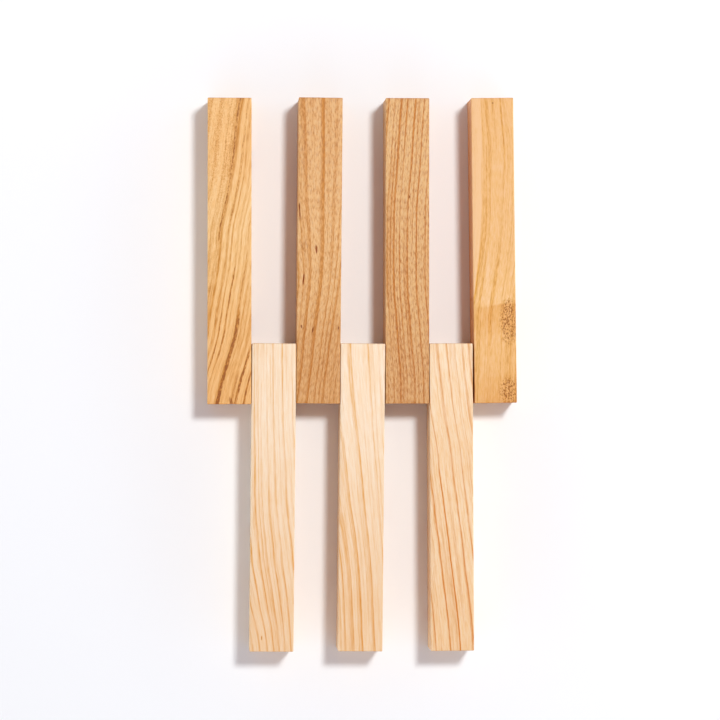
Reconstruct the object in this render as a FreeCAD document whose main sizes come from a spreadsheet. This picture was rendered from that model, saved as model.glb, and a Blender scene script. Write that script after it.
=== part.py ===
"""Seven loose square wooden sticks that are put into shoes to dry and freshen them, laid out as a set.

Four dark sticks lie side by side with room for one stick between each two of them, and three pale sticks
reach into that room from the other end, like the fingers of two hands. Nothing joins the sticks: each one
is a plain square bar with eased arrises, and they only lie on the same surface beside each other.

Frame, in millimetres: +Z is up from that surface, +Y runs along the sticks towards the dark ones, +X runs
across the set, and the origin is under the middle of the whole set, on the surface.
"""
import FreeCAD, Part
import Sketcher
import math
import os

DOCUMENT = "shoe_sticks"
PARTS_FOLDER = "parts"

# Driving dimensions, in millimetres and degrees. Each one is a cell of the sheet, under the same name.
SIZES = {
    "stick_height": 20.0,  # from the surface to the top face, the same for all seven
    "dark_length": 138.8,
    "pale_length": 139.5,
    "meshing": 27.7,  # how far the pale sticks reach in between the dark ones
    "arris_radius": 0.4,  # sanded arris of every stick
    "side_gap": 0.06,  # narrowest room between two sticks that lie against each other
    "last_gap": 0.55,  # narrowest room beside the last dark stick, which lies a little apart
    # Width across the set of each stick. They are planed by hand, so no two are quite alike.
    "dark_1_width": 20.0,
    "dark_2_width": 20.0,
    "dark_3_width": 19.9,
    "dark_4_width": 19.3,
    "pale_1_width": 20.0,
    "pale_2_width": 20.2,
    "pale_3_width": 19.7,
    # How each stick lies: its turn about the vertical, anticlockwise from above, as it was laid by hand.
    "dark_1_turn": 0.0,
    "dark_2_turn": -0.48,
    "dark_3_turn": 0.0,
    "dark_4_turn": 0.72,
    "pale_1_turn": -0.47,
    "pale_2_turn": -0.5,
    "pale_3_turn": 0.28,
    # How far each dark stick is pushed along +Y, past the first one.
    "dark_1_step": 0.0,
    "dark_2_step": 0.3,
    "dark_3_step": 0.3,
    "dark_4_step": 0.6,
    "pale_1_step": 0.0,
    "pale_2_step": 0.0,
    "pale_3_step": 0.1,
}

# The sticks from left to right, across the set.
LANES = ["dark_1", "pale_1", "dark_2", "pale_2", "dark_3", "pale_3", "dark_4"]


def label_of(lane):
    """The stick's own name, such as dark_stick_1."""
    wood, number = lane.split("_")
    return f"{wood}_stick_{number}"


def fill_sheet(doc, sizes):
    """Puts every driving dimension in its own cell, with its name as the alias."""
    sheet = doc.addObject("Spreadsheet::Sheet", "sizes")
    for row, (name, value) in enumerate(sizes.items(), start=1):
        sheet.set(f"A{row}", name)
        sheet.set(f"B{row}", str(value))
        sheet.setAlias(f"B{row}", name)
    doc.recompute()
    return sheet


def plane_of(body, role):
    """One of the body's own origin planes, such as XY_Plane."""
    return next(f for f in body.Origin.OriginFeatures if f.Role == role)


def outline(body, lane):
    """The stick seen from above: a rectangle about its own centre line.

    Its own origin lies on that line, halfway along the stretch where dark and pale sticks mesh, so a dark
    stick runs from there towards +Y and a pale one towards -Y.
    """
    wood = lane.split("_")[0]
    sketch = body.newObject("Sketcher::SketchObject", f"{lane}_outline")
    sketch.AttachmentSupport = (plane_of(body, "XY_Plane"), [""])
    sketch.MapMode = "FlatFace"
    # A rough rectangle that already lies the right way; the constraints below give it its sizes.
    near_y, far_y = {"dark": (-10, 50), "pale": (-50, 10)}[wood]
    rough = ((-10, near_y), (10, near_y), (10, far_y), (-10, far_y))
    corners = [FreeCAD.Vector(x, y, 0) for x, y in rough]
    for start, end in zip(corners, corners[1:] + corners[:1]):
        sketch.addGeometry(Part.LineSegment(start, end), False)
    near_end, right, far_end, left = range(4)
    start_point, end_point = 1, 2
    root_point = (-1, 1)
    y_axis = -2
    rules = [("Coincident", side, end_point, following, start_point)
             for side, following in ((near_end, right), (right, far_end), (far_end, left), (left, near_end))]
    rules += [("Vertical", right), ("Vertical", left), ("Horizontal", far_end)]
    rules += [("Symmetric", near_end, start_point, near_end, end_point, y_axis)]
    for rule in rules:
        sketch.addConstraint(Sketcher.Constraint(*rule))
    # The end that meshes lies half the meshing past the stick's own origin.
    meshed = {"dark": (near_end, start_point, *root_point), "pale": (*root_point, far_end, start_point)}[wood]
    sizes = {
        "width": ("DistanceX", (near_end, start_point, near_end, end_point), f"sizes.{lane}_width"),
        "length": ("DistanceY", (right, start_point, right, end_point), f"sizes.{wood}_length"),
        "meshed_end": ("DistanceY", meshed, "sizes.meshing / 2"),
    }
    for name, (kind, points, rule) in sizes.items():
        index = sketch.addConstraint(Sketcher.Constraint(kind, *points, 10.0))
        sketch.renameConstraint(index, name)
        sketch.setExpression(f"Constraints.{name}", rule)
    return sketch


def make_stick(doc, lane):
    """One square bar: its outline padded up to the stick's height, with all its arrises eased."""
    body = doc.addObject("PartDesign::Body", f"{lane}_body")
    body.Label = label_of(lane)
    sketch = outline(body, lane)
    doc.recompute()
    bar = body.newObject("PartDesign::Pad", f"{lane}_bar")
    bar.Profile = sketch
    bar.setExpression("Length", "sizes.stick_height")
    doc.recompute()
    eased = body.newObject("PartDesign::Fillet", f"{lane}_arrises")
    eased.Base = (bar, ["Face1"])
    eased.UseAllEdges = True
    eased.setExpression("Radius", "sizes.arris_radius")
    body.Tip = eased
    doc.recompute()
    return body


def spacing(sheet, left, right):
    """Distance between the centre lines of two neighbours, where they mesh.

    Two sticks that are turned differently swing together at one end of the stretch they share, so the room
    between them is set there and not halfway.
    """
    gap = sheet.last_gap if right == LANES[-1] else sheet.side_gap
    turns = [math.radians(sheet.get(f"{lane}_turn")) for lane in (left, right)]
    widths = [sheet.get(f"{lane}_width") for lane in (left, right)]
    steps = [abs(sheet.get(f"{lane}_step")) for lane in (left, right)]
    half_widths = sum(width / math.cos(turn) for width, turn in zip(widths, turns)) / 2
    reach = sheet.meshing / 2 + max(steps) + max(widths) / 2 * max(abs(math.sin(turn)) for turn in turns)
    swing = abs(math.tan(turns[0]) - math.tan(turns[1])) * reach
    return half_widths + swing + gap


def lay_out(doc, sheet, sticks):
    """Lays the sticks beside each other, then moves the whole set so that the origin is under its middle."""
    places = {}
    across = 0.0
    for number, lane in enumerate(LANES):
        if number:
            across += spacing(sheet, LANES[number - 1], lane)
        turn = FreeCAD.Rotation(FreeCAD.Vector(0, 0, 1), sheet.get(f"{lane}_turn"))
        places[lane] = FreeCAD.Placement(FreeCAD.Vector(across, sheet.get(f"{lane}_step"), 0), turn)
        sticks[lane].Placement = places[lane]
    doc.recompute()
    box = Part.makeCompound([stick.Shape for stick in sticks.values()]).optimalBoundingBox(False)
    middle = FreeCAD.Vector(box.Center.x, box.Center.y, 0)
    for lane, place in places.items():
        sticks[lane].Placement = FreeCAD.Placement(place.Base - middle, place.Rotation)
    doc.recompute()


def check(doc, sheet, sticks):
    """Stops the build if any object failed, a stick isn't one sound solid, or its volume isn't a bar's."""
    for item in doc.Objects:
        failed = {"Invalid", "Error"} & set(item.State)
        if failed:
            raise RuntimeError(f"{item.Label} is in state {failed}")
    for lane, stick in sticks.items():
        shape = stick.Shape
        if shape.isNull() or not shape.isValid() or len(shape.Solids) != 1:
            raise RuntimeError(f"{stick.Label} isn't one sound solid")
        length = sheet.get(f"{lane.split('_')[0]}_length")
        bar = sheet.get(f"{lane}_width") * sheet.stick_height * length
        if not 0.98 * bar < shape.Volume < bar:
            raise RuntimeError(f"{stick.Label} has {shape.Volume:.0f} mm3, and its bar would have {bar:.0f}")


def write_steps(sticks):
    """Writes one STEP file for each stick, named after it."""
    os.makedirs(PARTS_FOLDER, exist_ok=True)
    for stick in sticks.values():
        stick.Shape.exportStep(os.path.join(PARTS_FOLDER, f"{stick.Label}.step"))
        box = stick.Shape.optimalBoundingBox(False)
        print(f"{stick.Label}: x {box.XMin:.2f} to {box.XMax:.2f}, y {box.YMin:.2f} to {box.YMax:.2f}, "
              f"z {box.ZMin:.2f} to {box.ZMax:.2f}, {stick.Shape.Volume / 1000:.1f} cm3")


def main():
    doc = FreeCAD.newDocument(DOCUMENT)
    sheet = fill_sheet(doc, SIZES)
    sticks = {lane: make_stick(doc, lane) for lane in LANES}
    lay_out(doc, sheet, sticks)
    check(doc, sheet, sticks)
    write_steps(sticks)


main()
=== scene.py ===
# %% [markdown]
# # Seven wooden sticks for drying and freshening shoes
# Four dark hardwood sticks and three pale cypress ones lie on a white table, meshed like the fingers of
# two hands. Each stick is a planed square bar. What makes one stick differ from the next is the wood
# itself, so most of this lesson is about growing wood grain that runs through the whole bar, out of its
# ends too.
#
# Lengths in the tables below are in millimetres, because a maker thinks in them. Blender works in metres,
# and MM turns one into the other.

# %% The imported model
import math
import random

import bpy
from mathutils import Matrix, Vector


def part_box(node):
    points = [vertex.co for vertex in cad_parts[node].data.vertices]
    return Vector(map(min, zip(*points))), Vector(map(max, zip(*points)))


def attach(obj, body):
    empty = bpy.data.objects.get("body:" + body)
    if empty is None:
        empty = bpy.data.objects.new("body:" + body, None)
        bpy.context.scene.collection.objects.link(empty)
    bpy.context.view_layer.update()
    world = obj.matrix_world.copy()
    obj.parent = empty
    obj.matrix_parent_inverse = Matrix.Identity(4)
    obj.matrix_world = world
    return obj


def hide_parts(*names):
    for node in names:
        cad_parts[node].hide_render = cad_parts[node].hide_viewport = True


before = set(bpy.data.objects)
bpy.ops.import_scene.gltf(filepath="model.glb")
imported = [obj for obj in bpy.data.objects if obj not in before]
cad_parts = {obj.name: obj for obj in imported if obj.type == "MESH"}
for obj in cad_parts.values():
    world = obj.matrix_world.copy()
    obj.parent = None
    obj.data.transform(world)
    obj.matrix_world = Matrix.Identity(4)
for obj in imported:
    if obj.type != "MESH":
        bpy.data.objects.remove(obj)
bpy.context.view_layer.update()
scene = bpy.context.scene
MM = 0.001
print("nodes:", sorted(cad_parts))

# %% [markdown]
# ## Where each stick lies
# The sticks were laid by hand, so most are turned by half a degree or so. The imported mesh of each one
# says how: the middle of its far half lies on its centre line. The turns could be typed in as numbers,
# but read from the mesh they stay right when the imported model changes.


# %% Place, turn and size of a stick
def lie_of(node):
    """Centre in metres, turn in radians, and (width, length, height) in metres of a packed stick."""
    low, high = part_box(node)
    centre = (low + high) / 2
    points = [v.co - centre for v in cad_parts[node].data.vertices]
    far = [p for p in points if p.y > 0]
    along = sum(far, Vector()) / len(far)
    turn = math.atan2(-along.x, along.y)
    across = Vector((math.cos(turn), math.sin(turn), 0))
    along = Vector((-math.sin(turn), math.cos(turn), 0))
    size = [2 * max(p.dot(axis) for p in points) for axis in (across, along, Vector((0, 0, 1)))]
    return centre, turn, size


STICKS = sorted(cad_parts)
LIES = {node: lie_of(node) for node in STICKS}
for node, (centre, turn, size) in LIES.items():
    print(f"{node}: turned {math.degrees(turn):.2f} degrees, " + " x ".join(f"{s / MM:.1f}" for s in size))

# %% [markdown]
# ## The camera
# A long lens looks almost straight down from 1.3 m above the table. It stands a little to the left of the
# set, so a thin strip of each left side shows, more of it towards the right. It could be aimed by hand in
# the viewport, but a place and a turn written as numbers give the same view on every run. A short lens
# close by would make the sticks fan out, so the lens is long.

# %% Camera
CAMERA_PLACE = Vector((-66.65, -7.96, 1323.4)) * MM
CAMERA_TURN = [math.radians(a) for a in (0.6243, -2.8765, 0.0345)]
LENS = 144.08  # mm, on a sensor 36 mm wide
SENSOR_WIDTH = 36

camera_data = bpy.data.cameras.new("long lens")
camera_data.lens = LENS
camera_data.sensor_width = SENSOR_WIDTH
camera = bpy.data.objects.new("camera", camera_data)
camera.location = CAMERA_PLACE
camera.rotation_euler = CAMERA_TURN
scene.collection.objects.link(camera)
scene.camera = camera
print("camera at", [round(c, 3) for c in camera.location], "with a", LENS, "mm lens")

# %% [markdown]
# ## Table and light
# The table is a plain white sheet. It could be a curved backdrop, but from above only its flat part would
# show. One softbox stands high on the upper right and throws short soft shadows to the lower left. A sun
# lamp could throw them too, but its light falls at the same angle and strength everywhere, and a softbox
# near by lights each stick a little differently, as in a studio. The rest of the light is a white room with
# a dim ceiling, a little brighter on the near side. The Standard view keeps the white of the table white,
# where a film-like view would grey it.

# %% Table
FLOOR_SIDE = 4.0
PAPER = {"Base Color": (0.905, 0.915, 0.915, 1), "Roughness": 0.9, "Specular IOR Level": 0.1}

bpy.ops.mesh.primitive_plane_add(size=FLOOR_SIDE, location=(0, 0, 0))
floor = bpy.context.object
floor.name = "white_table"
paper = bpy.data.materials.new("white paper")
paper.use_nodes = True
for name, value in PAPER.items():
    paper.node_tree.nodes["Principled BSDF"].inputs[name].default_value = value
floor.data.materials.append(paper)
print("table", FLOOR_SIDE, "m wide")

# %% Softbox
KEY_AZIMUTH = math.radians(49)
KEY_HEIGHT = math.radians(65.8)
KEY_DISTANCE = 1.6  # metres from the middle of the set
KEY_WIDTH = 0.28
KEY_POWER = 17.0
KEY_COLOUR = (0.955, 0.99, 1.0)

key_data = bpy.data.lights.new("softbox", "AREA")
key_data.shape = "DISK"
key_data.size = KEY_WIDTH
key_data.energy = KEY_POWER
key_data.color = KEY_COLOUR
key = bpy.data.objects.new("softbox", key_data)
key_direction = Vector((math.cos(KEY_AZIMUTH) * math.cos(KEY_HEIGHT),
                        math.sin(KEY_AZIMUTH) * math.cos(KEY_HEIGHT), math.sin(KEY_HEIGHT)))
key.location = key_direction * KEY_DISTANCE
key.rotation_euler = key_direction.to_track_quat("Z", "Y").to_euler()
scene.collection.objects.link(key)
print("softbox at", [round(c, 3) for c in key.location])

# %% White room
ROOM_AROUND = (1.95, 2.5, 2.9, 1)  # the walls, bright and cool
ROOM_ABOVE = (0.36, 0.25, 0.24, 1)  # the dim, warm ceiling
WALL_TOP = 0.2  # how high in the sky dome, from 0 level to 1 overhead, the walls begin to fade
CEILING_EDGE = 0.5  # and where the ceiling has taken over
NEAR_WALL = 1.4  # brightness of the room at its near end
FAR_WALL = 0.6  # and at its far end

room = bpy.data.worlds.new("white room")
room.use_nodes = True
sky = room.node_tree
upward = sky.nodes.new("ShaderNodeSeparateXYZ")
fade = sky.nodes.new("ShaderNodeMapRange")
fade.interpolation_type = "SMOOTHSTEP"
fade.inputs["From Min"].default_value = WALL_TOP
fade.inputs["From Max"].default_value = CEILING_EDGE
walls_to_ceiling = sky.nodes.new("ShaderNodeMix")
walls_to_ceiling.data_type = "RGBA"
walls_to_ceiling.inputs[6].default_value = ROOM_AROUND
walls_to_ceiling.inputs[7].default_value = ROOM_ABOVE
sky.links.new(sky.nodes.new("ShaderNodeTexCoord").outputs["Generated"], upward.inputs["Vector"])
sky.links.new(upward.outputs["Z"], fade.inputs["Value"])
sky.links.new(fade.outputs["Result"], walls_to_ceiling.inputs[0])
sky.links.new(walls_to_ceiling.outputs[2], sky.nodes["Background"].inputs["Color"])
near_to_far = sky.nodes.new("ShaderNodeMapRange")
for name, value in {"From Min": -1, "From Max": 1, "To Min": NEAR_WALL, "To Max": FAR_WALL}.items():
    near_to_far.inputs[name].default_value = value
sky.links.new(upward.outputs["Y"], near_to_far.inputs["Value"])
sky.links.new(near_to_far.outputs["Result"], sky.nodes["Background"].inputs["Strength"])
scene.world = room
scene.view_settings.view_transform = "Standard"
print(room.name, "is", round(NEAR_WALL / FAR_WALL, 1), "times brighter at its near end")

# %% [markdown]
# ## A planed bar
# A real stick is sawn square, planed on four sides and rubbed down, so its faces are nearly flat and its
# arrises are a little soft. It could be made of one cube with a live Bevel, but such a flat face catches
# the light too evenly. So the cube is cut into short lengths and strips first, which lets it follow the
# slight unevenness that sanding leaves. The shaping is done while the bar still has its own turn, so that
# x runs across it, y along it and z up, and the turn is applied at the end.
#
# Two helpers come first: one picks faces or edges by their place, as a click would, and one adds a
# modifier and applies it.


# %% Bar helpers
def pick(part, keep):
    """Selects the faces or edges of the bar in edit mode whose corners, in mm, pass the test."""
    bpy.ops.object.mode_set(mode="OBJECT")
    scene.tool_settings.mesh_select_mode = (False, part == "edges", part == "polygons")
    mesh = bpy.context.object.data
    for group in (mesh.vertices, mesh.edges, mesh.polygons):
        group.foreach_set("select", [False] * len(group))
    for item in getattr(mesh, part):
        item.select = keep([mesh.vertices[i].co / MM for i in item.vertices])
    bpy.ops.object.mode_set(mode="EDIT")


def apply_modifier(kind, **settings):
    """Adds a modifier to the active object, sets it up and applies it."""
    piece = bpy.context.object
    modifier = piece.modifiers.new(kind.title(), kind)
    for name, value in settings.items():
        setattr(modifier, name, value)
    bpy.ops.object.modifier_apply(modifier=modifier.name)


# %% Bar sizes
HALF_HEIGHT = 10.0  # half a stick's height, mm
SHORT_LENGTHS = 55  # cuts along the stick
STRIPS = 7  # cuts across each face
ARRIS = 0.45 * MM
ARRIS_STEPS = 3
SANDING_DEPTH = 0.09 * MM

sanding = bpy.data.textures.new("sanding", "CLOUDS")
sanding.noise_scale = 9 * MM
sanding.noise_depth = 2
print("each bar gets", SHORT_LENGTHS, "cuts along it and", STRIPS, "across each face")

# %% [markdown]
# ## Torn fibres
# Where the grain dives into the wood, a plane lifts the fibres and tears them out, and a rough dull patch
# is left. It could be a bump in the material, but a bump leaves the outline of the patch smooth. So the
# top face is broken into fine facets there, and a Displace modifier with a cloudy texture sinks them
# unevenly, only inside the patch, through a vertex group.

# %% Torn fibres
TORN = {"dark_stick_4": [(6.2, -32, 3.4, 9), (6.0, -64, 3.6, 5.5)]}  # x, y, half width, half length
TORN_DEPTH = 0.35 * MM
TORN_CUTS = 6
TORN_RIM = 1.3  # how far the fine facets reach past the patch, mm
TOP_SKIN = 0.5  # points less deep than this belong to the top face, mm
FACING_UP = 0.9  # smallest upward part of a top point's normal

splinters = bpy.data.textures.new("splinters", "CLOUDS")
splinters.noise_scale = 0.7 * MM
splinters.noise_depth = 3


def tear(bar, x, y, half_width, half_length):
    """Breaks the top face into fine facets around a spot and sinks them unevenly, as in torn-out fibres."""
    def inside(point, room):
        near = abs(point.x - x) < half_width + room and abs(point.y - y) < half_length + room
        return near and point.z > HALF_HEIGHT - TOP_SKIN

    pick("polygons", lambda ends: all(inside(end, TORN_RIM) for end in ends))
    bpy.ops.mesh.subdivide(number_cuts=TORN_CUTS)
    bpy.ops.object.mode_set(mode="OBJECT")
    torn = [vertex.index for vertex in bar.data.vertices
            if inside(vertex.co / MM, 0) and abs(vertex.normal.z) > FACING_UP]
    bar.vertex_groups.new(name="torn").add(torn, 1.0, "REPLACE")
    apply_modifier("DISPLACE", texture=splinters, texture_coords="GLOBAL", direction="Z", mid_level=1,
                   strength=TORN_DEPTH, vertex_group="torn")
    bar.vertex_groups.clear()
    print("tore", len(torn), "points of", bar.name)


# %% [markdown]
# ## Slits
# As it dries, a dark hardwood opens in short narrow slits, often where gum has gathered. A slit could be
# a dark dash in the colour alone, but a real one has depth and keeps its shadow from every side. So a
# long thin sphere, shaped like a lens, is sunk into the top face and cut out with a Boolean.

# %% Slits
SLITS = {  # x, y, half width, half length, turn in degrees
    "dark_stick_2": [(-9.2, 19.5, 0.28, 1.9, 3), (-9.0, 16.2, 0.26, 1.6, 3), (-1.4, 0.5, 0.36, 1.8, 4),
                     (-7.1, -13, 0.34, 2.4, -6), (-7.9, -34.5, 0.2, 0.8, 0), (-2.7, -36, 0.24, 1.3, -8),
                     (9, -35, 0.2, 0.8, 0)],
    "dark_stick_3": [(0.7, 24.5, 0.32, 0.9, 0), (7.9, 15, 0.3, 1.0, 0)],
}
SLIT_DEPTH = 0.5  # mm


def cut_slit(bar, x, y, half_width, half_length, turn):
    """Cuts a narrow lens-shaped slit into the top face of a bar that still has its own turn."""
    place = bar.matrix_world @ Vector((x * MM, y * MM, HALF_HEIGHT * MM))
    bpy.ops.mesh.primitive_uv_sphere_add(segments=20, ring_count=10, radius=MM, location=place,
                                         rotation=(0, 0, bar.rotation_euler.z + math.radians(turn)),
                                         scale=(half_width, half_length, SLIT_DEPTH))
    cutter = bpy.context.object
    bpy.ops.object.select_all(action="DESELECT")
    bpy.context.view_layer.objects.active = bar
    bar.select_set(True)
    apply_modifier("BOOLEAN", object=cutter, operation="DIFFERENCE", solver="EXACT")
    bpy.data.objects.remove(cutter)
    print("cut a slit", round(2 * half_length, 1), "mm long into", bar.name)


# %% [markdown]
# ## Making the bars
# All seven are made by one function, in the order of the workshop: saw the blank, ease its arrises, sand
# it, then add the marks that only some of them have. Copies of one bar would be quicker, but no two
# sticks have the same width, and each needs its own marks.

# %% Make the bars
LENGTHWISE = 50  # only edges along the blank span more than this along it, mm
CROSSWISE = 10  # and once it is cut short, only edges across it span more than this, mm
SOFT_ANGLE = math.radians(35)


def make_bar(node):
    """The finished bar of a packed stick, with its place in its mesh."""
    centre, turn, size = LIES[node]
    bpy.ops.object.select_all(action="DESELECT")
    bpy.ops.mesh.primitive_cube_add(size=1, location=centre, rotation=(0, 0, turn), scale=size)
    bar = bpy.context.object
    bar.name = node + "_bar"
    bpy.ops.object.transform_apply(location=False, rotation=False, scale=True)
    pick("edges", lambda ends: abs(ends[0].y - ends[1].y) > LENGTHWISE)
    bpy.ops.mesh.subdivide(number_cuts=SHORT_LENGTHS)
    for side in (0, 2):
        pick("edges", lambda ends: abs(ends[0][side] - ends[1][side]) > CROSSWISE)
        bpy.ops.mesh.subdivide(number_cuts=STRIPS)
    bpy.ops.object.mode_set(mode="OBJECT")
    apply_modifier("BEVEL", width=ARRIS, segments=ARRIS_STEPS, limit_method="ANGLE")
    apply_modifier("DISPLACE", texture=sanding, texture_coords="GLOBAL", mid_level=1,
                   strength=SANDING_DEPTH)
    for spot in TORN.get(node, []):
        tear(bar, *spot)
    for slit in SLITS.get(node, []):
        cut_slit(bar, *slit)
    bpy.ops.object.transform_apply(location=True, rotation=True, scale=False)
    bpy.ops.object.shade_smooth_by_angle(angle=SOFT_ANGLE)
    return bar


bars = {node: make_bar(node) for node in STICKS}
for node, bar in bars.items():
    print(bar.name, len(bar.data.polygons), "faces")

# %% [markdown]
# ## Growing the wood
# Grain runs through a real stick: the lines on the top face turn over the arris, run down the sides and
# come out as arcs on the sawn ends. A texture painted for each face would break at the arrises. So the
# grain is solid here: every point of the bar is given its distance from the heart of the tree, and the
# rings, fibres and pores are read from that.
#
# A small class keeps the shader readable. Each call adds one node and gives back its output.


# %% Shader shorthand
class Shader:
    """Writes the nodes of one material."""

    def __init__(self, name):
        self.material = bpy.data.materials.new(name)
        self.material.use_nodes = True
        self.tree = self.material.node_tree
        self.surface = self.tree.nodes["Principled BSDF"]

    def set(self, node, inputs):
        """Links each input of a node to a socket, or gives it a value."""
        for socket, value in dict(inputs).items():
            if isinstance(value, bpy.types.NodeSocket):
                self.tree.links.new(value, node.inputs[socket])
            else:
                node.inputs[socket].default_value = value

    def node(self, kind, inputs=(), output=0, **settings):
        """Adds a node and gives back one of its outputs."""
        node = self.tree.nodes.new("ShaderNode" + kind)
        for name, value in settings.items():
            setattr(node, name, value)
        self.set(node, inputs)
        return node.outputs[output]

    def math(self, operation, *values):
        return self.node("Math", enumerate(values), operation=operation)

    def add(self, *values):
        total = values[0]
        for value in values[1:]:
            total = self.math("ADD", total, value)
        return total

    def times(self, *values):
        total = values[0]
        for value in values[1:]:
            total = self.math("MULTIPLY", total, value)
        return total


# %% Patterns
class Pattern(Shader):
    """Adds the nodes that draw: ramps, noise, hand-drawn curves and mixed colours."""

    def ramp(self, value, low, high, start=0.0, end=1.0):
        """Goes smoothly from start to end as the value goes from low to high, and no further."""
        return self.node("MapRange", {"Value": value, "From Min": low, "From Max": high, "To Min": start,
                                      "To Max": end}, interpolation_type="SMOOTHSTEP")

    def stretch(self, place, across, along, centre=(0, 0, 0)):
        """Measures a place from a centre in steps of so many mm across the stick and along it."""
        return self.node("Mapping", {"Vector": place, "Location": centre,
                                     "Scale": (across, along, across)}, vector_type="TEXTURE")

    def noise(self, place, detail=2.0, roughness=0.5, distortion=0.0):
        """Noise from 0 to 1, with lumps one step in size."""
        return self.node("TexNoise", {"Vector": place, "Scale": 1.0, "Detail": detail,
                                      "Roughness": roughness, "Distortion": distortion}, output="Fac")

    def drawn(self, value, points, reach, height, handle="AUTO"):
        """Reads a drawn curve through (place, height) points, for places within the reach."""
        share = self.node("MapRange", {"Value": value, "From Min": -reach, "From Max": reach})
        node = self.tree.nodes.new("ShaderNodeFloatCurve")
        curve = node.mapping.curves[0]
        stops = [((place + reach) / (2 * reach), rise / height / 2 + 0.5) for place, rise in sorted(points)]
        curve.points[0].location = stops[0]
        curve.points[1].location = stops[-1]
        for stop in stops[1:-1]:
            curve.points.new(*stop)
        for stop in curve.points:
            stop.handle_type = handle
        node.mapping.update()
        self.set(node, {"Value": share})
        return self.math("MULTIPLY_ADD", node.outputs[0], 2 * height, -height)

    def mix(self, amount, first, second, blend="MIX"):
        """Lays the second colour over the first by the amount."""
        colours = [c if isinstance(c, bpy.types.NodeSocket) else (*c, 1) for c in (first, second)]
        return self.node("Mix", {0: amount, 6: colours[0], 7: colours[1]}, output=2, data_type="RGBA",
                         blend_type=blend)


# %% [markdown]
# ## Rings
# A tree adds pale, open wood in spring and thin dark wood at the end of summer, and then stops: so one
# side of each dark line fades out and the other is sharp. A ring is written as the place of its sharp
# edge across the stick, the width over which the summer wood darkens before it, and how dark it gets.
# Places are in millimetres from the centre line, on the top face at mid length. A Wave texture would draw
# lines too, but all alike and equally far apart, and real years differ. So the rings become the points of
# a curve, which one Float Curve node reads. Past the listed ones more rings follow, at the stick's usual
# spacing, for the sides and the underside.

# %% Ring profile
RING_REACH = 26.0  # how far from the centre line the curve runs, mm
SPACING_CHANGE = 0.25  # share by which the spacing of the added rings changes
ADDED_WIDTH = 0.4  # their width, as a share of the spacing
ADDED_DARKNESS = (0.4, 0.7)
RISE = ((0.7, 0.35), (0.35, 0.65))  # share of the width still to go, share of the darkness reached there
NO_STEP = 0.02  # least room between two points of the curve, mm


def ring_profile(rings, sharp, seed):
    """The strength of the summer wood across the rings, as the points of a curve."""
    chance = random.Random(seed)
    rings = sorted(rings)
    spacing = (rings[-1][0] - rings[0][0]) / (len(rings) - 1)
    for place, way in ((rings[0][0], -1), (rings[-1][0], 1)):
        while abs(place + way * spacing * (1 + SPACING_CHANGE)) < RING_REACH - 1:
            place += way * spacing * chance.uniform(1 - SPACING_CHANGE, 1 + SPACING_CHANGE)
            rings.append((place, spacing * ADDED_WIDTH, chance.uniform(*ADDED_DARKNESS)))
    points = [(-RING_REACH, 0.0)]
    for edge, width, dark in sorted(rings):
        start = edge - width
        if points[-1][0] < start < edge - 2 * sharp:
            points += [(start, 0.0)] + [(edge - left * width, share * dark) for left, share in RISE]
        points += [(max(edge - sharp, points[-1][0] + NO_STEP), dark), (edge + sharp, 0.0)]
    return points + [(RING_REACH, 0.0)]


# %% [markdown]
# ## From a place in the bar to its ring
# On the top face the lines sway and drift across the stick, because the tree wasn't straight and the saw
# didn't follow it. Noise could bend them, but then each stick's lines would wander anywhere. Two drawn
# curves hold the bends instead, both along the stick: the lean, which is where ring zero crosses, and the
# spread, which is how far apart the rings stand there. Below the top face the rings bend around the heart
# of the tree, which lies to one side of the stick and below it.

# %% Ring distance
REACH_ALONG = 72.0  # the drawn curves run this far either way from mid length, mm
REACH_ACROSS = 16.0  # the largest lean, mm


def ring_distance(shader, place, lean, spread, heart):
    """The ring coordinate at a place of the bar, and the same place with its grain pulled straight."""
    heart_x, heart_z = heart
    parts = shader.node("SeparateXYZ", {"Vector": place}).node
    x, y, z = parts.outputs
    straight = shader.math("SUBTRACT", x, shader.drawn(y, lean, REACH_ALONG, REACH_ACROSS))
    if spread:
        straight = shader.math("DIVIDE", straight, shader.drawn(y, spread, REACH_ALONG, 2.0))
    from_heart = shader.math("POWER", shader.math("SUBTRACT", straight, heart_x), 2.0)
    sunk = shader.math("POWER", shader.math("SUBTRACT", z, heart_z), 2.0)
    squared = shader.add(from_heart, sunk, -(HALF_HEIGHT - heart_z) ** 2)
    bend = shader.math("SQRT", shader.math("MAXIMUM", squared, 0.0))
    side = 1 if heart_x < 0 else -1
    ring = shader.math("MULTIPLY_ADD", bend, side, heart_x)
    along = shader.node("CombineXYZ", {"X": straight, "Y": y, "Z": z})
    return ring, along, (x, y, z)

# %% [markdown]
# ## From rings to wood
# A stick's wood starts with its rings, a little unsteady as real ones are. Everything could be mixed as
# colours straight away, but then each new mark would need its own colour. So two numbers carry the wood
# up to the last step: how much summer wood a point has, which turns it orange, and its tone, from light
# to dark. Streaks, knots and figure are added to these two.

# %% Wood grower
UNSTEADY = 0.6  # how far the rings wander, mm
WANDER = (5, 26)  # over what width and length, mm
SHAKY = 0.1  # and how far they shake
SHAKE = (1.1, 5)  # over what width and length
DEEPENING = 45  # the summer wood deepens between this far past mid length and as far before it, mm
BASE_TONE = 0.25


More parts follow.
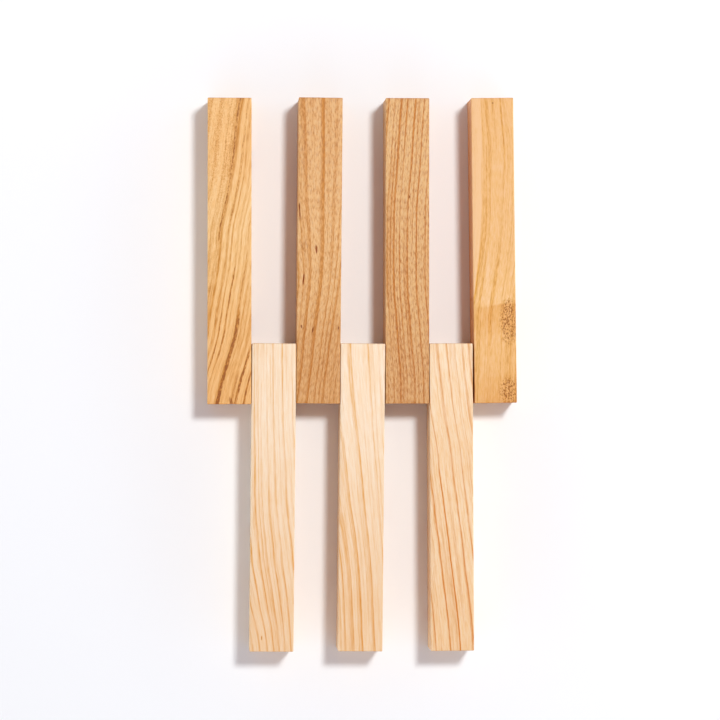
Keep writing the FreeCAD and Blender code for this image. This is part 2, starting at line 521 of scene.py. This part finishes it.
class Wood(Pattern):
    """The wood of one stick: where each point of it lies in the tree, its summer wood and its tone."""

    def __init__(self, node, lean, rings, heart, spread=None, sharp=0.3, steady=1.0, deepen=1.0):
        super().__init__(node + " wood")
        self.name = node
        centre, turn, size = LIES[node]
        self.half_width, self.half_length = size[0] / 2 / MM, size[1] / 2 / MM
        self.place = self.node("Mapping", {"Vector": self.node("TexCoord", output="Object"),
                                           "Location": centre, "Rotation": (0, 0, turn),
                                           "Scale": (MM, MM, MM)}, vector_type="TEXTURE")
        ring, self.along, (self.x, self.y, self.z) = ring_distance(self, self.place, lean, spread, heart)
        wander = self.noise(self.stretch(self.along, *WANDER))
        shake = self.noise(self.stretch(self.along, *SHAKE))
        self.ring = self.add(ring, self.swing(wander, UNSTEADY / steady / 2), self.swing(shake, SHAKY / 2))
        folded = self.math("PINGPONG", self.add(self.ring, RING_REACH), 2 * RING_REACH)
        folded = self.add(folded, -RING_REACH)
        lines = self.drawn(folded, ring_profile(rings, sharp, node), RING_REACH, 1.0, handle="VECTOR")
        self.summer = self.times(lines, self.ramp(self.y, DEEPENING, -DEEPENING, 1.0, deepen))
        self.tone = BASE_TONE

    def within(self, value, low, high, soft):
        """One where the value lies between low and high, and zero outside, with soft edges."""
        return self.times(self.ramp(value, low - soft, low + soft),
                          self.ramp(value, high + soft, high - soft))

    def swing(self, noise, amount):
        """Turns noise from 0 to 1 into a swing of so much either way."""
        return self.math("MULTIPLY_ADD", noise, 2 * amount, -amount)

    def darken(self, *tones):
        """Adds to the tone, from light to dark."""
        self.tone = self.add(self.tone, *tones)

    def spot(self, x, y, half_width, half_length, turn=0.0, soft=0.5, depth=None):
        """One inside a long lens of wood under the top face, fading out at its skin."""
        place = self.node("Mapping", {"Vector": self.place, "Location": (x, y, HALF_HEIGHT),
                                      "Rotation": (0, 0, math.radians(turn)),
                                      "Scale": (half_width, half_length, depth or half_width)},
                          vector_type="TEXTURE")
        far = self.node("VectorMath", {0: place}, output="Value", operation="LENGTH")
        return self.ramp(far, 1 + soft, 1 - soft)


# %% [markdown]
# ## Fibres and pores
# Between the rings a planed face shows fine fibres, short dark dashes where the plane has cut pores open,
# faint lines from years that hardly differ, and slow cloudy changes. Each could be drawn by hand, but
# nobody sees where one fibre lies, only how long, how wide and how strong they are. So each is noise,
# stretched along the grain. As it reads the place with the grain pulled straight, it follows every bend
# of the rings.

# %% Fibres and pores
PORE_DASH = (0.5, 2.2)  # width and length of each kind of mark, mm
FAINT_LINE = (1.3, 90)
CLOUD = (4.5, 22)
FIBRE_CONTRAST = (0.34, 0.66)  # the span of the noise that is spread from 0 to 1
PORE_CONTRAST = (0.5, 0.66)
SOFT_CONTRAST = (0.3, 0.7)


def add_fibres(wood, threads, pores, faint, cloud, width=0.45, length=2.4):
    """Long fibres, short dark dashes of open pores, faint lines between the rings, and cloudy changes."""
    fibres = wood.noise(wood.stretch(wood.along, width, length), detail=3, roughness=0.6)
    wood.threads = wood.ramp(fibres, *FIBRE_CONTRAST)
    wood.dashes = wood.ramp(wood.noise(wood.stretch(wood.along, *PORE_DASH), detail=2), *PORE_CONTRAST)
    lines = wood.noise(wood.stretch(wood.along, *FAINT_LINE), detail=3, roughness=0.6)
    lines = wood.ramp(lines, *SOFT_CONTRAST)
    clouds = wood.ramp(wood.noise(wood.stretch(wood.along, *CLOUD)), *SOFT_CONTRAST)
    # Summer wood is a quarter weaker between the fibres and a quarter stronger on them.
    wood.summer = wood.times(wood.add(wood.summer, wood.swing(lines, faint)),
                             wood.math("MULTIPLY_ADD", wood.threads, 0.5, 0.75))
    wood.darken(wood.swing(wood.threads, threads), wood.times(wood.dashes, pores),
                wood.swing(clouds, cloud))


# %% [markdown]
# ## Colour, sheen and tool marks
# Bare planed wood is matt, a little shinier on the fibres than in the pores. One colour ramp over the tone
# would do for plain wood, but summer wood differs in hue and not only in depth. So the tone picks the
# colour of the spring wood, and the summer wood is laid over it. Stains and the duller end grain then
# multiply the colour, as they do in the real one, and so does a warm tint that changes slowly along the
# stick. On one stick, painted shade also darkens its left side. The bump comes from the same fibres and
# pores, so that light and colour agree.

# %% Colour, sheen and tool marks
END_SHADE = (0.80, 0.70, 0.62)  # how much darker sawn end grain is than the faces
GROOVE = 0.06 * MM  # depth of the deepest fibre
RAY_FLECK = (0.6, 1.7)  # width and length of the greyish flecks of the rays, mm
TONE_STOPS = (0.0, 0.42, 1.0)  # tones of the light, middle and dark colours
WARMTH_REACH = 1.5  # the largest warmth a curve can hold
SKIN = (0.3, 0.05)  # painted shade on a left side sets in between these depths under it, mm
END_SKIN = (0.5, 0.15)  # and an end's shade between these
ELSEWHERE = (50, 0, 0)  # the flecks read their noise here, so that they don't follow the fibres
RAY_CONTRAST = (0.46, 0.66)
PORE_RELIEF = -0.5  # how deep a pore lies, against a fibre's height of 1
TONE_RELIEF = -0.15
BUMP_STRENGTH = 0.8
ROUGHNESS = (0.62, 0.5)  # in the pores and on the fibres
SHEEN = 0.35


def finish_wood(wood, light, middle, dark, summer, warm_tint, warmth, flecks=0.0, fleck=(1, 1, 1),
                stain=None, shaded_left_side_tint=(1, 1, 1)):
    """Makes the colour from tone and summer wood, then sheen and bump, and sets the shader's sockets."""
    tones = wood.tree.nodes.new("ShaderNodeValToRGB")
    tones.color_ramp.elements.new(0.5)
    for stop, place, colour in zip(tones.color_ramp.elements, TONE_STOPS, (light, middle, dark)):
        stop.position = place
        stop.color = (*colour, 1)
    wood.set(tones, {"Fac": wood.tone})
    colour = tones.outputs["Color"]
    if flecks:
        rays = wood.noise(wood.stretch(wood.along, *RAY_FLECK, centre=ELSEWHERE), detail=1)
        rays = wood.ramp(rays, *RAY_CONTRAST)
        colour = wood.mix(wood.times(rays, flecks), colour, fleck)
    colour = wood.mix(wood.summer, colour, wood.mix(wood.tone, summer, dark))
    colour = wood.mix(wood.drawn(wood.y, warmth, REACH_ALONG, WARMTH_REACH), colour, warm_tint, "MULTIPLY")
    if stain:
        amount, tint = stain
        colour = wood.mix(amount, colour, tint, "MULTIPLY")
    # Painted shade: a left side, which lies away from the softbox, is darkened by multiplying it with a
    # tint.
    side = wood.ramp(wood.x, SKIN[0] - wood.half_width, SKIN[1] - wood.half_width)
    colour = wood.mix(side, colour, shaded_left_side_tint, "MULTIPLY")
    end = wood.ramp(wood.math("ABSOLUTE", wood.y), *(wood.half_length - depth for depth in END_SKIN))
    colour = wood.mix(end, colour, END_SHADE, "MULTIPLY")
    height = wood.add(wood.threads, wood.times(wood.dashes, PORE_RELIEF), wood.times(wood.tone, TONE_RELIEF))
    bump = wood.node("Bump", {"Height": height, "Strength": BUMP_STRENGTH, "Distance": GROOVE})
    rough = wood.ramp(wood.threads, *SOFT_CONTRAST, *ROUGHNESS)
    wood.set(wood.surface, {"Base Color": colour, "Normal": bump, "Roughness": rough})
    wood.surface.inputs["Specular IOR Level"].default_value = SHEEN
    print(wood.name, "has", len(wood.tree.nodes), "shader nodes")
    return wood.material


# %% [markdown]
# ## Dark stick 1
# The saw met the grain of this one at a slant, so its rings cross the whole face from lower left to upper
# right. It is yellower than its neighbours. The slant could be a straight pattern turned by an angle, but
# it changes along the stick, so the lean is drawn point by point.

# %% Dark stick 1, its lines
woods = {}
D1_LEAN = [(69, 10.1), (60, 8.7), (50, 7.6), (40, 6.6), (30, 5.1), (20, 3.0), (10, 0.9), (0, 0),
           (-10, -1.2), (-20, -3.0), (-31, -4.7), (-38, -5.8), (-45, -7.6), (-53, -10.0), (-60, -12.0),
           (-69, -14)]
D1_RINGS = [(-17, 1.5, 0.15), (-13, 1.2, 0.12), (-9, 1.0, 0.25), (-3.7, 3.2, 0.8), (-0.9, 1.5, 0.45),
            (0.9, 1.0, 0.8), (3.5, 1.4, 0.55), (5.4, 1.3, 0.45), (8.4, 1.9, 0.65), (10.8, 1.3, 0.45),
            (12.6, 0.9, 0.3), (14.9, 1.9, 0.4), (17, 1.3, 0.55), (20.5, 1.4, 0.6)]

wood = Wood("dark_stick_1", D1_LEAN, D1_RINGS, heart=(-60, -25), sharp=0.45, deepen=1.2)
add_fibres(wood, threads=0.2, pores=0.02, faint=0.35, cloud=0.08, width=0.4, length=5)
print("dark stick 1 has", len(D1_RINGS), "rings")

# %% [markdown]
# ## Its lace and streaks
# Left of the broad dark ring the wood is rippled like lace, as it is near a fork of the tree. The curls
# could be modelled as dents, but they are only fibres that turn in and out of the face. So they are a
# distorted noise in the amount of summer wood, kept to that side of the ring. Some rings carry brown
# mineral streaks, most of all towards the near end. They could be stains laid on the finished colour, but
# real ones follow a ring. So each is a narrow span of ring and a stretch of length, roughened by a speckle.

# %% Dark stick 1, its lace
LACE_EDGE = (-5.2, -6.6)  # it sets in between these rings
LACE_ALONG = (12, 42, 0.4, 1.0)  # and grows from 0.4 to 1 between these places along the stick

curls = wood.ramp(wood.noise(wood.stretch(wood.place, 0.7, 1.0), detail=2, distortion=1.4), 0.36, 0.64)
lace = wood.times(wood.ramp(wood.ring, *LACE_EDGE), wood.ramp(wood.y, *LACE_ALONG))
wood.darken(wood.times(lace, wood.swing(curls, 0.05)))
wood.summer = wood.add(wood.summer, wood.times(lace, wood.math("MULTIPLY_ADD", curls, 0.5, -0.12)))
print("dark stick 1 has lace left of its ring at", D1_RINGS[3][0], "mm")

# %% Dark stick 1, its streaks and colour
D1_STREAKS = [  # ring, half width, from, to, darkness
    (-5.3, 0.35, 5, 80, 0.4), (-4.8, 0.8, -10, 80, 0.12), (-1.2, 0.5, 10, 80, 0.25),
    (0.9, 0.25, -56, -27, 0.35), (3.2, 0.3, -50, -8, 0.45), (8.0, 0.3, -25, -3, 0.2),
    (8.5, 0.75, -75, -28, 0.65), (14.9, 0.5, -75, -58, 0.25), (16.8, 0.55, -69, -46, 0.6),
    (20.4, 0.3, -72, -56, 0.6)]
STREAK_SOFT = 0.3  # softness of a streak's sides, mm
STREAK_ENDS = 5  # and of its ends

speckle = wood.ramp(wood.noise(wood.stretch(wood.along, 0.6, 1.5), detail=3), 0.38, 0.62)
for ring, half_width, start, end, darkness in D1_STREAKS:
    line = wood.within(wood.ring, ring - half_width, ring + half_width, STREAK_SOFT)
    streak = wood.times(line, wood.within(wood.y, start, end, STREAK_ENDS),
                        wood.math("MULTIPLY_ADD", speckle, darkness, darkness / 2))
    wood.summer = wood.add(wood.summer, streak)
    wood.darken(wood.times(streak, 0.8))
wood.darken(wood.times(wood.spot(0.8, -68.5, 0.8, 2.2, turn=15), 0.5))
woods["dark_stick_1"] = finish_wood(
    wood, light=(0.85, 0.57, 0.285), middle=(0.81, 0.465, 0.168), dark=(0.30, 0.095, 0.012),
    summer=(0.655, 0.275, 0.02), warm_tint=(0.96, 0.84, 0.70),
    warmth=[(70, 0.35), (40, 0.45), (20, 0.05), (0, 0.05), (-20, 0.35), (-45, 0.7), (-70, 0.9)])

# %% [markdown]
# ## Dark stick 2
# A redder wood with nearly straight lines, wider apart towards the far end. A second lean could pull them
# apart, but one number along the stick, the spread, says it more simply. Its seven slits hold dark gum. The
# cut alone would show clean wood inside, so a brown stain follows each slit down, from the same table.

# %% Dark stick 2
D2_LEAN = [(69, 1), (40, 1.4), (20, 1.2), (10, 1.4), (-10, 1.2), (-16, 0.8), (-22, 0.1), (-30, -0.9),
           (-41, -2.2), (-50, -3), (-60, -4.2), (-70, -5.3)]
D2_SPREAD = [(70, 1.5), (40, 1.33), (20, 1.2), (10, 1.08), (0, 1), (-10, 0.9), (-25, 0.85), (-40, 0.8),
             (-60, 0.75), (-70, 0.78)]
D2_RINGS = [(-11.5, 1.2, 0.6), (-8.8, 0.9, 0.6), (-5.2, 1.8, 0.9), (-2.6, 0.9, 0.4), (0.6, 2.0, 1.4),
            (2.4, 0.7, 0.3), (4.7, 1.3, 1.0), (7.2, 1.0, 0.7), (9.7, 1.4, 0.9), (13.8, 1.2, 0.7)]

wood = Wood("dark_stick_2", D2_LEAN, D2_RINGS, heart=(70, -35), spread=D2_SPREAD, sharp=0.3, steady=2,
            deepen=1.1)
add_fibres(wood, threads=0.4, pores=0.1, faint=0.4, cloud=0.06, length=2.6)
slits = wood.add(*[wood.spot(*slit, depth=2) for slit in SLITS["dark_stick_2"]])
wood.darken(wood.times(wood.spot(-7, 2, 1.6, 2.2, soft=0.8), 0.35))
woods["dark_stick_2"] = finish_wood(
    wood, light=(0.745, 0.45, 0.20), middle=(0.68, 0.353, 0.124), dark=(0.38, 0.14, 0.022),
    summer=(0.575, 0.225, 0.03), warm_tint=(0.89, 0.80, 0.70), flecks=0.35, fleck=(0.70, 0.46, 0.25),
    warmth=[(70, 0.35), (40, 0.3), (15, 0.05), (-12, 0), (-25, 0.2), (-38, 0.75), (-55, 1), (-70, 1.1)],
    stain=(slits, (0.5, 0.22, 0.06)))

# %% [markdown]
# ## Dark stick 3
# The straightest of the four: fine even lines with many short pore dashes, as quarter sawn wood shows.
# Its few pin knots could be left to chance, but they sit in known places, so each is a dark spot with its
# own size.

# %% Dark stick 3
D3_LEAN = [(69, 4), (50, 2.6), (40, 2), (30, 1.2), (20, 0.5), (10, 0.3), (-10, 0.3), (-20, 0.6), (-28, 1.3),
           (-45, 2.5), (-55, 3.4), (-69, 3.7)]
D3_RINGS = [(-12.2, 0.8, 0.92), (-9.4, 0.9, 1.06), (-7.8, 0.7, 0.6), (-6.3, 0.9, 1.13), (-4.9, 0.7, 0.66),
            (-3.6, 0.9, 1.06), (-1.8, 0.7, 0.66), (0, 1.0, 1.32), (1.9, 0.7, 0.66), (4.1, 1.1, 1.32),
            (6, 0.7, 0.66), (8, 1.0, 1.25), (9.6, 0.7, 0.66), (11.5, 0.9, 0.92)]
D3_KNOTS = [(0.8, 24.5, 0.3, 0.5, 0.7), (7.8, 15, 0.3, 0.5, 0.6), (-2.8, -5, 0.5, 0.9, 0.4),
            (9.8, 47, 0.2, 0.4, 0.6)]  # x, y, half width, half length, darkness

wood = Wood("dark_stick_3", D3_LEAN, D3_RINGS, heart=(-80, -20), sharp=0.3, steady=2.5, deepen=1.0)
add_fibres(wood, threads=0.44, pores=0.1, faint=0.45, cloud=0.05, length=2.6)
for x, y, half_width, half_length, darkness in D3_KNOTS:
    wood.darken(wood.times(wood.spot(x, y, half_width, half_length, depth=2), darkness))
woods["dark_stick_3"] = finish_wood(
    wood, light=(0.725, 0.45, 0.198), middle=(0.66, 0.35, 0.124), dark=(0.35, 0.105, 0.012),
    summer=(0.53, 0.175, 0.008), warm_tint=(0.90, 0.82, 0.76), flecks=0.35, fleck=(0.67, 0.44, 0.24),
    warmth=[(70, -0.15), (40, 0.05), (0, 0.25), (-30, 0.35), (-50, 0.8), (-70, 1)])

# %% [markdown]
# ## Dark stick 4
# The lightest and calmest of the four. A stripe of pale sapwood, the living outer wood of the tree, runs
# down its left edge. It could be the place where the rings end, but its border doesn't follow them quite.
# So it has a drawn edge of its own, with a thin darker rim, and inside it the tone is lighter and
# the lines fade.

# %% Dark stick 4, its lines and sapwood
D4_LEAN = [(69, 3.5), (60, 4.2), (50, 5), (40, 5.2), (30, 4.9), (20, 4.8), (10, 4.3), (0, 3.2), (-10, 1.8),
           (-20, 0.2), (-30, -1.1), (-40, -1.5), (-60, -2.5), (-69, -2.9)]
D4_RINGS = [(-13, 1.4, 0.3), (-9.3, 1.2, 0.12), (-6.3, 1.3, 0.12), (-2.5, 1.6, 0.15), (0.1, 1.2, 0.55),
            (4.4, 1.3, 0.45), (8.3, 1.9, 0.4), (12, 1.8, 0.4)]
SAPWOOD_EDGE = [(69, -5), (50, -4.7), (30, -5.2), (20, -5), (10, -5.6), (0, -6.5), (-5, -7), (-12, -8),
                (-20, -9), (-25, -11), (-70, -15)]
SAPWOOD_SOFT = 0.6  # half the width of its blurred edge, mm
SAPWOOD_RIM = (-0.3, 0.4, 0.4)  # from, to and softness of the darker rim, counted from the edge, mm

wood = Wood("dark_stick_4", D4_LEAN, D4_RINGS, heart=(-70, -30), sharp=0.5, deepen=1.1)
add_fibres(wood, threads=0.18, pores=0.06, faint=0.68, cloud=0.06, length=4)
past_sapwood = wood.math("SUBTRACT", wood.x, wood.drawn(wood.y, SAPWOOD_EDGE, REACH_ALONG, REACH_ACROSS))
sapwood = wood.ramp(past_sapwood, SAPWOOD_SOFT, -SAPWOOD_SOFT)
wood.summer = wood.times(wood.summer, wood.math("MULTIPLY_ADD", sapwood, -0.8, 1.0))
wood.summer = wood.add(wood.summer, wood.times(wood.within(past_sapwood, *SAPWOOD_RIM), 0.6))
wood.darken(wood.times(sapwood, -0.3), wood.times(wood.spot(-3, -28, 0.9, 30), -0.2))
print("dark stick 4 has", len(D4_RINGS), "rings and an edge of sapwood with", len(SAPWOOD_EDGE), "points")

# %% [markdown]
# ## Its torn patches and stain
# The torn facets were cut into the mesh above. The same patches also get a ragged dark, orange noise in
# their colour, which is painted shade for the pits between the torn fibres. Near the mesh with the pale
# sticks the wood is stained, up to a nearly straight border, as where a damp cloth lay. The stain could be
# a darker tone, but a stain sinks in and leaves the grain clear. So it multiplies the finished colour, and
# its strength is drawn along the stick.

# %% Dark stick 4, its marks and colour
DAMP = [(72, 1), (-24, 1), (-33, 0.95), (-42, 0.45), (-52, 0.45), (-60, 0.85), (-70, 1)]
BORDER = (-24.2, -25.6)  # the stain sets in between these places along the stick
BORDER_SLOPE = 0.12
DRIER_EDGE = (-8.6, -4.8)  # and it is weaker left of these places across it

torn = wood.add(*[wood.spot(*spot, soft=0.6, depth=2) for spot in TORN["dark_stick_4"]])
# Painted shade: a ragged noise darkens the torn patches and makes them more orange, for the shade in their
# pits.
ragged_shade = wood.ramp(wood.noise(wood.stretch(wood.place, 0.6, 1.1), detail=4, roughness=0.75), 0.48, 0.6)
wood.summer = wood.add(wood.summer, wood.times(torn, ragged_shade, 0.8))
wood.darken(wood.times(torn, ragged_shade, 1.1), wood.times(wood.spot(0.2, 67, 0.35, 0.45), 0.6))
waver = wood.swing(wood.noise(wood.stretch(wood.place, 3, 3)), 1.5)
border = wood.add(wood.y, wood.times(wood.x, -BORDER_SLOPE), waver)
stain = wood.times(wood.ramp(border, *BORDER), wood.drawn(wood.y, DAMP, REACH_ALONG, WARMTH_REACH),
                   wood.ramp(wood.x, *DRIER_EDGE, 0.45, 1.0))
# Its left side, away from the softbox, gets painted shade: a darker, redder tint over its colour.
woods["dark_stick_4"] = finish_wood(
    wood, light=(0.83, 0.535, 0.285), middle=(0.785, 0.445, 0.15), dark=(0.34, 0.12, 0.015),
    summer=(0.77, 0.375, 0.05), warm_tint=(0.94, 0.88, 0.81),
    warmth=[(70, 1.1), (50, 0.9), (20, 0.75), (0, 0.6), (-20, 0.1), (-45, 0), (-70, 0.9)],
    stain=(stain, (0.92, 0.80, 0.60)), shaded_left_side_tint=(0.93, 0.68, 0.50))

# %% [markdown]
# ## Pale stick 1
# Cypress: creamy, with clear orange summer lines that lean to the left towards the far end. Softwood has
# no pores, so the dashes are nearly off and the fibres are long. The first two pale sticks share their
# colours, as if they came from one board, and both grow warmer alike towards the near end.

# %% Pale stick 1
P1_LEAN = [(70, -1.8), (45, -1.5), (30, -1.2), (20, -0.7), (0, 0), (-10, 0.8), (-20, 2.1), (-30, 3.0),
           (-40, 4.6), (-50, 5.9), (-60, 7.0), (-70, 7.7)]
P1_SPREAD = [(70, 0.88), (30, 0.92), (20, 0.95), (0, 1), (-20, 1.05), (-30, 1.05), (-40, 1.02), (-50, 0.98),
             (-60, 0.88), (-70, 0.83)]
P1_RINGS = [(-19, 1.0, 0.48), (-15.3, 1.0, 0.6), (-11.3, 1.0, 0.6), (-7.8, 1.0, 0.6), (-6.2, 0.5, 0.24),
            (-4.6, 1.2, 0.48), (-3, 0.5, 0.24), (-1.6, 1.2, 0.42), (0.2, 0.5, 0.1), (1.7, 1.2, 0.55),
            (4.2, 0.6, 0.3), (6.4, 1.3, 0.66), (8.4, 0.5, 0.24), (11.4, 1.6, 0.45), (13.5, 1.2, 0.6),
            (17, 1.2, 0.6)]
CYPRESS = {"light": (0.885, 0.74, 0.58), "middle": (0.865, 0.645, 0.42), "dark": (0.62, 0.28, 0.04),
           "summer": (0.755, 0.34, 0.025)}
CYPRESS_WARM = {"warm_tint": (0.94, 0.82, 0.68),
                "warmth": [(70, 0), (35, 0.15), (0, 0.45), (-30, 0.75), (-50, 1.05), (-70, 1.3)]}

wood = Wood("pale_stick_1", P1_LEAN, P1_RINGS, heart=(-55, -30), spread=P1_SPREAD, sharp=0.2, steady=2.5,
            deepen=1.6)
add_fibres(wood, threads=0.17, pores=0.03, faint=0.24, cloud=0.04, width=0.35, length=7)
wood.darken(wood.times(wood.spot(-4.5, -63.5, 0.25, 0.9), 0.8))
woods["pale_stick_1"] = finish_wood(wood, **CYPRESS, **CYPRESS_WARM)

# %% [markdown]
# ## Pale stick 2
# The same cypress with one broad orange ring, 4 mm of summer wood from a good year, left of the middle.
# The band could be painted over the lines, but as a ring with a large width it bends and fades with the
# others.

# %% Pale stick 2
P2_LEAN = [(70, -7.0), (50, -5.7), (30, -3.3), (20, -2.1), (10, -1.0), (0, 0), (-10, 1.25), (-20, 2.5),
           (-35, 3.9), (-45, 4.5), (-55, 5.0), (-70, 5.9)]
P2_SPREAD = [(70, 1.2), (45, 1.2), (25, 1.06), (10, 1.03), (0, 1), (-20, 0.9), (-40, 0.85), (-70, 0.86)]
P2_RINGS = [(-20, 1.0, 0.34), (-16.5, 1.0, 0.34), (-14.2, 1.4, 0.55), (-9.8, 4, 0.5), (-6.9, 0.6, 0.4),
            (-5.2, 1.5, 0.62), (-3.2, 0.4, 0.17), (-1.6, 0.5, 0.17), (1.2, 1.9, 0.7), (4, 0.5, 0.22),
            (5.8, 0.4, 0.17), (7.8, 1.0, 0.6), (9.6, 0.4, 0.17), (11.5, 0.8, 0.39), (15, 0.8, 0.34)]

wood = Wood("pale_stick_2", P2_LEAN, P2_RINGS, heart=(-55, -30), spread=P2_SPREAD, sharp=0.2, steady=2.5,
            deepen=1.4)
add_fibres(wood, threads=0.17, pores=0.03, faint=0.24, cloud=0.04, width=0.35, length=7)
woods["pale_stick_2"] = finish_wood(wood, **CYPRESS, **CYPRESS_WARM)

# %% [markdown]
# ## Pale stick 3
# Cypress from another board: its lines are thin, clear and further apart than in its neighbours, and its
# ground is browner. It could share their colours with a tint over all, but that would grey its lines, so
# it has colours of its own.

# %% Pale stick 3
P3_LEAN = [(70, -8.5), (60, -7.6), (50, -6.5), (40, -5.4), (30, -3.8), (20, -2.3), (10, -1.4), (0, 0),
           (-10, 1.2), (-20, 2.5), (-30, 3.6), (-40, 4.8), (-50, 6.0), (-60, 7.0), (-70, 7.7)]
P3_RINGS = [(-18.5, 0.8, 0.46), (-14.9, 0.8, 0.57), (-12.4, 0.6, 0.29), (-8.3, 0.9, 0.63),
            (-4.8, 0.6, 0.34), (-3.8, 1.0, 1.0), (2.4, 1.3, 0.69), (6.5, 0.9, 0.63), (10.2, 0.9, 0.57),
            (13.5, 0.9, 0.57), (16.5, 0.9, 0.57)]

wood = Wood("pale_stick_3", P3_LEAN, P3_RINGS, heart=(-60, -25), sharp=0.2, steady=2.5, deepen=1.9)
add_fibres(wood, threads=0.22, pores=0.06, faint=0.3, cloud=0.04, width=0.35, length=6)
woods["pale_stick_3"] = finish_wood(
    wood, light=(0.88, 0.72, 0.53), middle=(0.86, 0.615, 0.365), dark=(0.56, 0.22, 0.02),
    summer=(0.68, 0.245, 0.01), warm_tint=CYPRESS_WARM["warm_tint"],
    warmth=[(70, 0.1), (45, 0.4), (20, 0.75), (0, 0.6), (-30, 0.8), (-70, 1.3)])

# %% [markdown]
# ## Dressing the sticks
# Nothing joins the real sticks, so each one can be picked up alone. Every bar takes its wood, moves with
# its packed stick and stands in for it. Parenting the bars by hand would move them too, but then nothing
# would say which packed stick each one replaces.

# %% Dress and attach
for node, bar in bars.items():
    bar.data.materials.append(woods[node])
    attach(bar, node)
    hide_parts(node)
    print(bar.name, "stands in for", node)
